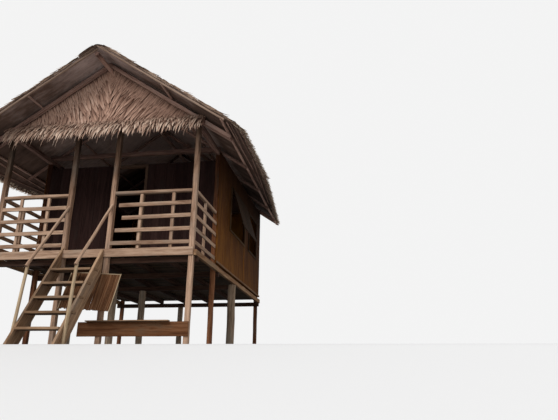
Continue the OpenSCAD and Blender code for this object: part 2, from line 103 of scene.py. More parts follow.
class Finish:
    """The nodes of a material or of the sky. One method adds any node to them, and the rest
    call it for what wood, leaf and studio have in common."""

    def __init__(self, owner, shader="Principled BSDF", rough=None):
        owner.use_nodes = True
        self.owner = owner
        self.tree = owner.node_tree
        self.shader = self.tree.nodes[shader]
        if rough:
            self.shader.inputs["Roughness"].default_value = rough
            self.shader.inputs["Specular IOR Level"].default_value = 0.06

    def node(self, kind, settings=None, sockets=None, out=0):
        made = self.tree.nodes.new(kind)
        for name, value in (settings or {}).items():
            if name == "stops":
                while len(made.color_ramp.elements) < len(value):
                    made.color_ramp.elements.new(1)
                for stop, (place, colour) in zip(made.color_ramp.elements, value):
                    stop.position = place
                    stop.color = colour
            else:
                setattr(made, name, value)
        for name, value in (sockets or {}).items():
            if isinstance(value, Tap):
                self.tree.links.new(value.socket, made.inputs[name])
            else:
                made.inputs[name].default_value = value
        return Tap(self, made.outputs[out])

    def feed(self, name, tap):
        self.tree.links.new(tap.socket, self.shader.inputs[name])

    def attribute(self, name, out=2):
        return self.node("ShaderNodeAttribute", {"attribute_name": name}, out=out)

    def streaks(self, grain, stretch, detail, roughness, twist=0.0):
        """Noise with so many streaks to a metre along the grain, across it and into it."""
        place = self.node("ShaderNodeVectorMath", {"operation": "MULTIPLY"},
                          {0: grain, 1: stretch})
        return self.node("ShaderNodeTexNoise", {}, {
            "Vector": place, "Scale": 1.0, "Detail": detail, "Roughness": roughness,
            "Distortion": twist})

    def ramped(self, value, low, high, start, end):
        """Goes from start to end while the value goes from low to high."""
        return self.node("ShaderNodeMapRange", {}, {
            "Value": value, "From Min": low, "From Max": high, "To Min": start, "To Max": end})

    def mix(self, share, first, second):
        return self.node("ShaderNodeMix", {"data_type": "RGBA"},
                         {0: share, 6: first, 7: second}, out=2)

    def cover(self, colour, light, height, strength, relief):
        """Gives the surface its colour, scaled by a brightness that holds painted light and shade
        as well as cracks and streaks, and a relief that follows height.
        """
        self.feed("Base Color", self.node("ShaderNodeVectorMath", {"operation": "SCALE"},
                                          {0: colour, "Scale": light}))
        self.feed("Normal", self.node("ShaderNodeBump", {}, {
            "Strength": strength, "Distance": relief, "Height": height}))


def seen(*colours):
    """Colours given as the eye reads them off a screen, from 0 to 255."""
    def linear(value):
        value = value / 255
        return value / 12.92 if value < 0.04045 else ((value + 0.055) / 1.055) ** 2.4
    return [(*map(linear, colour), 1) for colour in colours]


def wood(name, deep, body, pale, worn, wear=0.5, checks=0.5, rough=0.85, relief=0.0016,
         shaded=1.0, swing=0.12):
    """Bare timber: fibres and checks run along the grain, and weather greys it in patches.
    Faces that look down get painted shade: they keep only the share "shaded" of their
    brightness. Swing says how far a darker tone also takes the wood towards its deep colour."""
    finish = Finish(bpy.data.materials.new(name), rough=rough)
    deep, body, pale, worn = seen(deep, body, pale, worn)
    grain = finish.attribute("grain", 1)
    tone = finish.attribute("tone")

    def fibres(along, across, detail, twist=0.0):
        return finish.streaks(grain, (along, across, across), detail, 0.62, twist)

    broad = fibres(1.1, 17.0, 3.0, 0.7)
    fine = fibres(6.0, 170.0, 4.0)
    from_crack = finish.node("ShaderNodeMath", {"operation": "ABSOLUTE"},
                             {0: fibres(0.9, 42.0, 2.0, 0.5) - 0.5})
    cracks = finish.ramped(from_crack, 0.0, 0.022, 1.0, 0.0)
    patches = finish.ramped(fibres(1.6, 5.0, 5.0), 0.62 - 0.3 * wear, 0.82 - 0.3 * wear,
                            0.0, 0.85)
    figure = finish.node("ShaderNodeValToRGB",
                         {"stops": [(0.34, deep), (0.5, body), (0.68, pale)]},
                         {"Fac": broad * 0.6 + fine * 0.4 + tone * swing - swing / 2})
    light = (tone * 0.5 + 0.75) * (1 - cracks * checks) * (fine * 0.5 + 0.75)
    if shaded < 1:
        facing = finish.node("ShaderNodeSeparateXYZ", {},
                             {0: finish.node("ShaderNodeNewGeometry", out=1)}, out=2)
        light = light * finish.ramped(facing, -0.9, -0.3, shaded, 1.0)
    finish.cover(finish.mix(patches, figure, worn), light,
                 broad * 0.5 + fine * 0.5 - cracks * checks, 0.8, relief)
    return finish.owner


class Heap:
    """Gathers the boards, poles or leaves that make one piece, then makes its mesh."""

    sharp_from = math.radians(35)

    def __init__(self, seed):
        self.luck = np.random.default_rng(seed)
        self.points = []
        self.faces = []
        self.marks = {"grain": [], "tone": [], "reach": []}
        self.count = 0

    def gather(self, points, faces, **marks):
        """Takes in points, the faces between them, and the marks that their finish reads."""
        self.points.append(points)
        self.faces.extend([corner + self.count for corner in face] for face in faces)
        self.count += len(points)
        for name, values in marks.items():
            self.marks[name].append(values)

    def add(self, points, faces, grain, tone):
        """Adds one board or pole. Its place in the wood is its own."""
        shift = self.luck.uniform(0, 40, 3)
        self.gather(points, faces, grain=grain + shift, tone=np.broadcast_to(tone, len(points)))

    def piece(self, name, material, slot, stands_for=()):
        """Makes the finished piece, fixed to the house in place of its solids."""
        mesh = bpy.data.meshes.new(name)
        mesh.from_pydata(np.concatenate(self.points).tolist(), [], self.faces)
        for mark, parts in self.marks.items():
            if parts:
                values = np.concatenate(parts).astype(np.float32)
                kind, field = (("FLOAT", "value") if values.ndim == 1 else
                               ("FLOAT_VECTOR", "vector"))
                layer = mesh.attributes.new(mark, kind, "POINT")
                layer.data.foreach_set(field, values.ravel())
        mesh.shade_smooth()
        mesh.set_sharp_from_angle(angle=self.sharp_from)
        mesh.materials.append(material)
        made = placed(name, mesh)
        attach(made, "root")
        if stands_for:
            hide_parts(*stands_for)


noise.seed_set(1)  # so that dents and crooks come out the same each time


def worked(node, seed, material, slot, ending, chamfer=0.003, step=0.22, uneven=0.004,
           tone=(0.25, 0.75), shade=None):
    """Makes a piece of a node's timbers, with worked edges and faces that are not quite flat.
    Shade gives painted light and shade: how much lighter or darker the wood is painted from
    place to place."""
    flat, arris, end_grain = math.radians(1.5), math.radians(28), 0.012
    heap = Heap(seed)
    whole = bmesh.new()
    whole.from_mesh(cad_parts[node].data)
    bmesh.ops.remove_doubles(whole, verts=whole.verts, dist=1e-5)
    left = dict.fromkeys(whole.verts)
    timbers = []
    while left:
        reached = [left.popitem()[0]]
        for vert in reached:
            for edge in vert.link_edges:
                other = edge.other_vert(vert)
                if other in left:
                    del left[other]
                    reached.append(other)
        timbers.append(reached)
    timbers.sort(key=lambda verts: [round(c, 3) for c in min(v.co.to_tuple() for v in verts)])
    for verts in timbers:
        solid = bmesh.new()
        copies = {vert: solid.verts.new(vert.co) for vert in verts}
        for face in dict.fromkeys(face for vert in verts for face in vert.link_faces):
            solid.faces.new([copies[vert] for vert in face.verts])
        bmesh.ops.dissolve_limit(solid, angle_limit=flat, verts=solid.verts, edges=solid.edges)
        spots = np.array([vert.co for vert in solid.verts])
        middle = (spots.max(axis=0) + spots.min(axis=0)) / 2
        ways = np.linalg.svd(spots - spots.mean(axis=0), full_matrices=False)[2]
        reach = np.abs((spots - middle) @ ways[0]).max()
        arrises = [edge for edge in solid.edges
                   if edge.is_manifold and edge.calc_face_angle(0) > arris]
        bmesh.ops.bevel(solid, geom=arrises, offset=chamfer, segments=1, profile=0.5,
                        affect="EDGES", clamp_overlap=True)
        for cut in np.arange(-reach + step * 0.6, reach - step * 0.3, step):
            bmesh.ops.bisect_plane(solid, geom=solid.verts[:] + solid.edges[:] + solid.faces[:],
                                   plane_co=middle + cut * ways[0], plane_no=ways[0])
        solid.verts.index_update()
        rounds = [[vert.index for vert in face.verts] for face in solid.faces]
        faces = sorted(ring[ring.index(min(ring)):] + ring[:ring.index(min(ring))]
                       for ring in rounds)
        spots = np.array([vert.co for vert in solid.verts])
        grain = (spots - middle) @ ways.T
        dents, ripples = (np.array([noise.noise_vector(Vector(spot) * to_a_metre)
                                    for spot in spots]) * uneven for to_a_metre in (2.1, 9.0))
        at_end = np.abs(np.abs(grain[:, 0]) - reach) < end_grain
        shift = np.where(at_end[:, None], 0, dents + ripples * 0.4)
        heap.add(spots + shift, faces, grain,
                 heap.luck.uniform(*tone) + (shade(*spots.T) if shade else 0))
        solid.free()
    whole.free()
    heap.piece(node + ending, material, slot, [node])


def post_shade(x, y, z):
    """Painted shade that darkens the posts towards their tops. The outer post on the sunny right
    keeps its light colour higher up than the others.
    """
    sunny = np.interp(z, (2.2, 2.8, 3.1, 3.5), (0.0, -0.3, -0.85, -1.3))
    sheltered = np.interp(z, (1.6, 2.4, 2.75, 3.0, 3.45), (0.1, -0.05, -0.5, -1.15, -1.45)) \
        - np.where(x > 0, 0.15, 0)
    return np.where(x > 1, sunny, sheltered)


# Painted shade that darkens the room posts towards their tops.
def room_post_shade(x, y, z):
    return np.interp(z, (0.5, 1.6, 2.6, 3.2), (-0.3, -0.5, -0.8, -1.25))


post_wood = wood("weathered_post", (110, 82, 64), (176, 142, 118), (206, 174, 148),
                 (160, 140, 124), wear=0.45, checks=0.6)
room_post_wood = wood("brown_post", (86, 52, 38), (142, 94, 64), (172, 124, 92), (132, 104, 84),
                      wear=0.25, checks=0.6)
for node, seed, stuff, shade in (("veranda_posts", 11, post_wood, post_shade),
                                 ("room_posts", 12, room_post_wood, room_post_shade)):
    worked(node, seed, stuff, "post_timber", "_hewn", chamfer=0.007, uneven=0.006, shade=shade)

# Stilts under the floor: two thick logs with their bark gone grey, and thinner round ones
# under the middle of the cross beams.
log_wood = wood("grey_log", (112, 92, 74), (166, 142, 120), (192, 170, 148), (158, 144, 128),
                wear=0.6, checks=0.7, relief=0.003)
for node, seed in (("mid_stilts", 13), ("inner_stilts", 14)):
    worked(node, seed, log_wood, "grey_log", "_log", chamfer=0.008, step=0.12, uneven=0.012)

# Floor frame: cross beams on the stilts, long beams outside the posts, joists on top, and
# the studs of the walls. It is rough sawn. The beam wood's dark colour is partly painted
# shade for the shade under the floor, and faces that look down get painted shade as well.
beam_wood = wood("sawn_beam", (40, 27, 22), (66, 46, 37), (88, 66, 54), (72, 60, 52), wear=0.3,
                 checks=0.4, shaded=0.5)
pale_beam_wood = wood("side_beam", (96, 66, 46), (136, 102, 74), (172, 140, 108),
                      (130, 112, 92), wear=0.35, checks=0.4, shaded=0.4)
for node, seed, stuff in (("cross_beams", 15, beam_wood), ("floor_joists", 16, beam_wood),
                          ("side_beams", 17, pale_beam_wood), ("wall_studs", 18, beam_wood)):
    worked(node, seed, stuff, "frame_timber", "_sawn", step=0.4, uneven=0.003)


# Floor boards across the joists, sawn to random widths, laid with open joints and notched
# round the posts. Bare feet keep the top smooth and pale.
def extent(node):
    """The lowest and highest corner of a node, to a tenth of a millimetre."""
    return np.round(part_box(node), 4)


def points_at(x, y, z):
    return np.stack(np.broadcast_arrays(x, y, z), axis=-1)


def set_out(start, end, looks=None):
    """Where a board or pole starts, its length, and its ways along, across and outwards."""
    start = np.asarray(start, float)
    length = np.linalg.norm(end - start)
    along = (end - start) / length
    if looks is None:
        looks = (0.31, 0.2, 0.93) if abs(along[2]) < 0.8 else (1.0, 0.1, 0.0)
    side = np.cross(along, looks)
    side = side / np.linalg.norm(side)
    return start, length, along, side, np.cross(side, along)


def skin(sides, stations):
    """The faces of a board or pole: its sides from station to station, and its two ends."""
    turns = [(sides * k, n, (n + 1) % sides) for k in range(stations) for n in range(sides)]
    faces = [[at + n, at + m, at + sides + m, at + sides + n] for at, n, m in turns]
    return faces + [list(range(sides))[::-1], [sides * stations + n for n in range(sides)]]


def board(heap, start, end, looks, width, thick, tone, step=0.4, bow=0.002, chamfer=0.0025):
    """Adds a sawn board between the middles of its ends. Its broad side looks that way, and
    its tone may be a pair, for its start and its end."""
    start, length, along, side, out = set_out(start, end, looks)
    half, deep, cut = width / 2, thick / 2, min(chamfer, thick / 4)
    corners = np.array([(-half, -deep + cut), (-half + cut, -deep), (half - cut, -deep),
                        (half, -deep + cut)])
    across, through = np.concatenate([corners, -corners]).T[..., None]
    stations = max(1, round(length / step))
    phase = heap.luck.uniform(0, 6.3)
    k = np.arange(stations + 1)[:, None, None]
    inner = (0 < k) & (k < stations)
    swell = 1 + 0.012 * np.sin(phase + 2.3 * k) * inner
    drift = out * bow * np.sin(phase + 1.7 * k) * inner
    points = start + along * length * k / stations + side * across * swell + out * through + drift
    heap.add(points.reshape(-1, 3), skin(8, stations),
             points_at(length * k / stations, across, through).reshape(-1, 3),
             np.repeat(np.linspace(*np.broadcast_to(tone, 2), stations + 1), 8))


# Painted shade: the undersides of the floor boards keep only 0.07 of their brightness.
floor_wood = wood("floor_board", (136, 98, 72), (184, 146, 112), (206, 172, 140),
                  (176, 158, 136), wear=0.4, checks=0.3, rough=0.9, shaded=0.07)
floor_under, floor_top = extent("room_floor")[:, 2]
post = 0.08
corner_posts = 1.73
stair_posts = (-0.461, 0.312)
front_line, room_line, back_line = -2.23, -1.0, 2.81
post_clear = post / 2 + 0.002
for node, seed, lines in (("veranda_floor", 19, [front_line]),
                          ("room_floor", 20, [room_line, back_line])):
    boards = Heap(seed)
    y, back = extent(node)[:, 1]
    while y < back - 0.03:
        width = min(boards.luck.uniform(0.13, 0.21), back - y)
        if back - y - width < 0.06:
            width = back - y
        middle = y + width / 2
        near = [line for line in lines if abs(line - middle) < post / 2 + 0.001 + width / 2]
        reach = corner_posts - post_clear if near else corner_posts + post / 2 - 0.001
        between = stair_posts if front_line in near else ()
        runs = [-reach, *(x + way * post_clear for x in between for way in (-1, 1)), reach]
        for first, last in zip(runs[::2], runs[1::2]):
            board(boards, (first, middle, (floor_under + floor_top) / 2),
                  (last, middle, (floor_under + floor_top) / 2), (0, 0, 1), width - 0.002,
                  floor_top - floor_under, boards.luck.uniform(0.2, 0.8), step=0.6, bow=0.0008)
        y += width
    boards.piece(node + "_boards", floor_wood, "floor_board", [node])

# Rim board and railings: sawn rails nailed on the front of squared balusters, and a peeled
# round pole along the top, all bleached by the sun.
# Rail faces that look down get painted shade (shaded=0.35).
rail_wood = wood("sawn_rail", (128, 96, 76), (180, 148, 124), (206, 178, 154), (162, 144, 128),
                 wear=0.35, checks=0.35, shaded=0.35)
worked("rim_board", 21, rail_wood, "rail_timber", "_sawn", step=0.3, tone=(0.35, 0.45))


def pole(heap, start, end, thick, tone, taper=0.08, crook=0.008, sides=14, step=0.15):
    """Adds a peeled round pole: thinner at its far end, knobbly and never quite straight."""
    start, length, along, side, out = set_out(start, end)
    stations = max(2, round(length / step))
    seed = Vector(heap.luck.uniform(0, 90, 3))
    points = []
    grain = []
    for k in range(stations + 1):
        part = k / stations
        loose = 4 * part * (1 - part) * crook
        wander = noise.noise_vector(seed + Vector((part * length * 0.9, 0, 0))) * loose * 2
        spot = start + along * length * part + side * wander.x + out * wander.y
        for n in range(sides):
            cos, sin = math.cos(2 * math.pi * n / sides), math.sin(2 * math.pi * n / sides)
            knob = noise.noise(seed + Vector((part * length * 5, cos, sin)))
            radius = thick / 2 * (1 - taper * part) * (1 + 0.07 * knob)
            points.append(spot + radius * (cos * side + sin * out))
            grain.append((part * length, radius * cos, radius * sin))
    heap.add(points, skin(sides, stations), np.array(grain), tone)


rail_top = 2.555
rail_drop = 0.218
rail_deep = 0.066
full = (0, 0, 0, 0)
for name, seed, side, first, last, starts, uprights, top_tone in (
        ("railing_front_left", 22, 0, -1.69, -0.501, full, (-1.368, -0.862), 0.35),
        ("railing_front_right", 23, 0, 0.352, 1.69, (0.09, 0.16, 0.06, 0), (0.817, 1.37), 0.0),
        ("railing_side_left", 24, -1, -2.19, -1.04, full, (-1.635,), 0.5),
        ("railing_side_right", 25, 1, -2.19, -1.04, full, (-1.635,), 0.5)):
    rails = Heap(seed)
    looks = (side, 0, 0) if side else (0, -1, 0)
    rail_thick = 0.02 if side else 0.022

    def spot(along, up, proud=0.0):
        """A place so far along the railing, and proud of the middle of its posts."""
        if side:
            return side * (corner_posts + proud), along, up
        return along, front_line - proud, up

    pole(rails, spot(first - 0.005, rail_top), spot(last + 0.005, rail_top), 0.076, top_tone,
         crook=0.004)
    for k, begin in enumerate(starts):
        z = rail_top - (k + 1) * rail_drop
        sag = 0 if side else rails.luck.uniform(-0.006, 0.006)
        board(rails, spot(first + begin, z + sag, 0.02 + rail_thick / 2),
              spot(last, z - sag, 0.02 + rail_thick / 2), looks, rail_deep, rail_thick,
              rails.luck.uniform(0.2 if side else 0.1, 0.6), step=0.3)
    for along in uprights:
        board(rails, spot(along, floor_top), spot(along, rail_top - 0.02), looks, 0.05, 0.04,
              0.5 if side else rails.luck.uniform(0.3, 0.7), step=0.3, chamfer=0.004)
    rails.piece(name + "_rails", rail_wood, "rail_timber", [name])

# Stair: two thick planks set on the ground against the rim board, the left one let over it,
# mortised for five treads. Newels and handrails are slim peeled sticks that lean on them.
# Faces of the stair planks that look down get painted shade (shaded=0.35).
step_wood = wood("stair_plank", (96, 72, 54), (146, 116, 90), (178, 148, 120), (136, 118, 102),
                 wear=0.4, checks=0.5, shaded=0.35)
stick_wood = wood("peeled_stick", (122, 98, 72), (178, 154, 124), (206, 184, 154),
                  (160, 144, 122), wear=0.4, checks=0.4)
# The right stringer gets a higher tone than the left one: painted light on its side face, which is
# turned from the lamp.
for node, seed, stuff, slot, tone in (
        ("stringer_left", 26, step_wood, "stair_plank", (0.5, 0.6)),
        ("stringer_right", 27, step_wood, "stair_plank", (0.75, 0.85)),
        ("stair_treads", 28, step_wood, "stair_plank", (0.2, 0.6)),
        ("stair_newels", 29, stick_wood, "post_timber", (0.6, 0.8)),
        ("stair_handrails", 30, rail_wood, "post_timber", (0.4, 0.6))):
    worked(node, seed, stuff, slot, "_worked", chamfer=0.004, step=0.2, tone=tone)

# Front wall of the room: dark upright boards between the posts, and a squared frame round
# the open doorway.
# The front boards' dark colour is partly painted shade under the veranda roof, and their fade
# paints shade that grows towards the top.
front_wood = wood("front_board", (40, 26, 24), (54, 37, 34), (68, 49, 45), (52, 41, 38),
                  wear=0.3, checks=0.25)
door_wood = wood("door_casing", (54, 40, 32), (84, 66, 54), (108, 88, 72), (88, 76, 66),
                 wear=0.4, checks=0.4)


def upright_boards(heap, first, last, low, high, spot_of, looks, thick, widths, holes=(),
                   fade=0.0, drift=0.0, tones=(0.15, 0.85)):
    """Boards side by side from first to last, cut out round the holes. Over a metre, their
    tone falls by fade from the foot up, painted shade towards the eaves, and by drift along the
    wall."""
    edges = sorted({edge for hole in holes for edge in hole[:2]} | {last})
    at = first
    while at < last - 0.01:
        width = heap.luck.uniform(*widths)
        stop = next(edge for edge in edges if edge > at + 0.001)
        if stop - at - width < 0.09:
            width = stop - at if stop - at < widths[1] * 1.4 else (stop - at) / 2
        middle = at + width / 2
        runs = [(low, high)]
        for hole in holes:
            if hole[0] < middle < hole[1]:
                runs = [(low, hole[2]), (hole[3], high)]
        tone = heap.luck.uniform(*tones) - drift * (middle - first)
        for bottom, top in runs:
            board(heap, spot_of(middle, bottom), spot_of(middle, top), looks, width - 0.0015,
                  thick * heap.luck.uniform(0.86, 1.0),
                  (tone - fade * (bottom - low), tone - fade * (top - low)), step=0.3,
                  bow=0.0012)
        at += width


wall_thick = 0.022
for node, seed in (("front_wall_left", 31), ("front_wall_right", 32)):
    boards = Heap(seed)
    (first, face, foot), (last, _, head) = extent(node)
    upright_boards(boards, first, last, foot, head,
                   lambda across, up: (across, face + wall_thick / 2, up), (0, -1, 0),
                   wall_thick, (0.15, 0.24), fade=0.3, tones=(0.35, 0.75))
    boards.piece(node + "_boards", front_wood, "front_board", [node])
timbers = Heap(33)
jamb = 0.05
(first, face, foot), (last, inner, head) = extent("door_frame")
for start, end in (((first + jamb / 2, foot), (first + jamb / 2, head - jamb)),
                   ((last - jamb / 2, foot), (last - jamb / 2, head - jamb)),
                   ((first, head - jamb / 2), (last, head - jamb / 2))):
    start, end = ((across, (face + inner) / 2, up) for across, up in (start, end))
    board(timbers, start, end, (0, -1, 0), jamb, inner - face, timbers.luck.uniform(0.4, 0.7),
          chamfer=0.004)
timbers.piece("door_frame_sawn", door_wood, "casing", ["door_frame"])

# Side and back walls: upright boards nailed outside the posts, golden brown, with a lath
# over one joint. On the side walls painted shade darkens the boards towards the eaves, and
# they grow darker towards the back. Each side has a window with a shutter hung at its top
# and propped part open, and the right one has a second window behind it.
wall_wood = wood("wall_board", (88, 52, 26), (124, 78, 30), (138, 90, 38), (108, 72, 34),
                 wear=0.2, checks=0.15, swing=0.2)
window_wood = wood("window_casing", (66, 46, 30), (98, 72, 48), (122, 94, 66), (92, 76, 58),
                   wear=0.4, checks=0.4)
shutter_wood = wood("shutter_board", (34, 24, 17), (53, 37, 25), (70, 52, 38), (54, 42, 32),
                    wear=0.3, checks=0.3)
windows_of = {-1: ((-0.13, 1.11),), 1: ((-0.13, 1.11), (1.57, 2.37))}
sill, lintel = 2.49, 3.33
wall_line = corner_posts + post / 2 + wall_thick / 2
lath_line, lath_y, lath_top = wall_line + 0.0115, 1.15, 2.43
for node, seed, side in (("wall_left", 34, -1), ("wall_right", 35, 1)):
    boards = Heap(seed)
    (_, first, foot), (_, last, head) = extent(node)
    upright_boards(boards, first, last, foot, head,
                   lambda along, up: (side * wall_line, along, up), (side, 0, 0), wall_thick,
                   (0.17, 0.27), [(start, end, sill, lintel) for start, end in windows_of[side]],
                   fade=0.55, drift=0.14, tones=(0.45, 0.65))
    board(boards, (side * lath_line, lath_y, foot), (side * lath_line, lath_y, lath_top),
          (side, 0, 0), 0.022, 0.008, (1.5, 0.9))
    boards.piece(node + "_boards", wall_wood, "wall_board", [node])
boards = Heap(36)
plate_foot, plate_deep = 3.712, 0.164
(first, face, foot), (last, _, _) = extent("back_wall")
upright_boards(boards, first + 0.001, last - 0.001, foot, plate_foot,
               lambda across, up: (across, face + wall_thick / 2, up), (0, 1, 0), wall_thick,
               (0.17, 0.26), tones=(0.4, 1.0))
board(boards, (-1.689, face + wall_thick / 2, plate_foot + plate_deep / 2),
      (1.689, face + wall_thick / 2, plate_foot + plate_deep / 2), (0, 1, 0), plate_deep,
      wall_thick, 0.2)
boards.piece("back_wall_boards", wall_wood, "wall_board", ["back_wall"])
casings = Heap(37)
shutters = Heap(38)
casing = 0.045
propped = math.radians(17)
for side in (-1, 1):
    x = side * 1.801
    for start, end in windows_of[side]:
        lying = [((x, start - casing, z), (x, end + casing, z))
                 for z in (sill - casing / 2, lintel + casing / 2)]
        standing = [((x, y, sill), (x, y, lintel))
                    for y in (start - casing / 2, end + casing / 2)]
        for ends in lying + standing:
            board(casings, *ends, (side, 0, 0), casing, 0.018,
                  casings.luck.uniform(0.0, 0.3) - 0.5 * start)
    start, end = windows_of[side][0]
    hinge = np.array((side * 1.82, 0, lintel + casing))
    drop = np.array((side * math.sin(propped), 0, -math.cos(propped)))
    inside = np.array((-side * math.cos(propped), 0, -math.sin(propped)))
    at = start
    while at < end - 0.01:
        width = min(0.21, end - at)
        top = hinge + (0, at + width / 2, 0)
        board(shutters, top, top + drop * 0.885, (side, 0, 0), width - 0.002, 0.018,
              shutters.luck.uniform(0.3, 0.7), bow=0.001)
        at += width
    for down in (0.14, 0.74):
        batten = hinge + drop * down + inside * 0.015
        board(shutters, batten + (0, start + 0.04, 0), batten + (0, end - 0.04, 0),
              (side, 0, 0), 0.07, 0.015, 0.3)
casings.piece("window_casings", window_wood, "casing", ["window_frames"])
shutters.piece("shutter_boards", shutter_wood, "wall_board", ["window_shutters"])

# Roof frame: squared plates and tie beams, and peeled poles for ridge, rafters, rakes and
# purlins, flattened where they bear and lashed where they cross.
pole_wood = wood("roof_pole", (92, 68, 60), (140, 110, 98), (174, 144, 130), (130, 112, 104),
                 wear=0.35, checks=0.4)
rake_wood = wood("rake_pole", (106, 84, 72), (150, 126, 110), (178, 154, 136), (136, 120, 108),
                 wear=0.3, checks=0.3)


def under_roof(y):
    """Painted shade for purlins and rafters: they keep their light colour over the veranda and
    are painted dark over the room.
    """
    return np.interp(y, (-2.8, -2.25, -2.2, -0.9, 0.8, 1.4), (0.3, 0.1, 0.2, 0.2, 0.1, -0.7))


# Painted light and shade on the roof timbers: the plates and tie beams are darkened, the ridge
# pole's front end is darkened and the rest of it lightened, the front right rafter is lighter
# towards its lower end, and the outer purlins are lighter.
roof_shade = {
    "wall_plates": lambda x, y, z: -0.55 + 0 * x,
    "tie_beams": lambda x, y, z: -0.7 + 0 * x,
    "ridge_pole": lambda x, y, z: np.interp(y, (-2.8, -2.7, -2.3, -2.2), (-0.8, 0.3, 0.4, 0.4)),
    "rafters_left": lambda x, y, z: np.where(
        y < -2.25, np.interp(-x, (0.1, 1.1, 1.7), (0.1, -0.05, -0.2)), under_roof(y) - 0.2),
    "rafters_right": lambda x, y, z: np.where(
        y < -2.25, np.interp(x, (0.1, 0.4, 1.0, 1.4), (0.0, 0.25, 0.5, 0.5)),
        np.where(x > 1.8, 0.0, under_roof(y))),
    "rake_poles": None,
    "purlins_left": lambda x, y, z: np.where(x < -2, 0.2, under_roof(y)),
    "purlins_right": lambda x, y, z: np.where(x > 2, 0.4, under_roof(y))}
for seed, (node, shade) in enumerate(roof_shade.items(), 39):
    worked(node, seed, rake_wood if node == "rake_poles" else pole_wood,
           "frame_timber" if node in ("wall_plates", "tie_beams") else "roof_pole", "_worked",
           step=0.25, uneven=0.005, tone=(0.3, 0.7), shade=shade)


# Thatch: palm leaves folded over and tied on in courses, packed hard in the body of each
# slope, loose and ribbed on top of it. The body is smooth underneath, with painted light
# and shade.
slope = math.radians(34.5)
rise, run = math.sin(slope), math.cos(slope)
ridge_top = 5.17
ridge_half = 0.14
ridge_round = ridge_half / rise
ridge_middle = ridge_top - ridge_half * rise / run - ridge_round * run
verge_of = {side: extent(node)[0][1] for side, node in ((-1, "thatch_left"), (1, "thatch_right"))}
eave_wide, verge_back = extent("thatch_right")[1][:2]
eave_bend, eave_narrow = -0.83, 2.21
course = 0.13


def height(x, depth):
    """How high the roof is that far under its surface, which is rounded over the ridge."""
    x = np.abs(x)
    radius = ridge_round - depth
    arc = ridge_middle + np.sqrt(np.maximum(radius ** 2 - x ** 2, 0))
    return np.where(x < radius * rise, arc, ridge_top - x * rise / run - depth / run)


def eave_at(y, side):
    """How far out the eave reaches at y: full over the veranda, drawn in towards the back."""
    return np.interp(y, [verge_of[side], verge_of[side] + 0.12, eave_bend, verge_back],
                     [eave_wide - 0.12, eave_wide, eave_wide, eave_narrow])


def leaf_finish(name, root, body, pale, dust, across=260.0, covered=0.6):
    """Dry palm leaf: ribbed along its length. Its root, which the next course covers, gets
    painted shade: it keeps only the share "covered" of its brightness and goes towards the
    root colour, while the tip is a little lighter."""
    finish = Finish(bpy.data.materials.new(name), rough=0.9)
    root, body, pale, dust = seen(root, body, pale, dust)
    grain = finish.attribute("grain", 1)
    tone = finish.attribute("tone")
    reach = finish.attribute("reach")

    def ribs(along, across, detail):
        return finish.streaks(grain, (along, across, 1), detail, 0.6)

    fine = ribs(5.0, across, 3.0)
    broad = ribs(3.0, across * 0.15, 3.0)
    figure = finish.node("ShaderNodeValToRGB",
                         {"stops": [(0.0, root), (0.45, body), (1.0, pale)]},
                         {"Fac": tone * 0.55 + broad * 0.7 - 0.15 + (reach - 0.5) * 0.25})
    specks = finish.ramped(ribs(9.0, 22.0, 4.0), 0.58, 0.7, 0.0, 0.5)
    light = (fine * 0.7 + 0.65) * (reach * (1.08 - covered) + covered)
    finish.cover(finish.mix(specks, figure, dust), light, fine, 0.6, 0.002)
    return finish.owner


def unit(rows):
    return rows / np.linalg.norm(rows, axis=-1, keepdims=True)


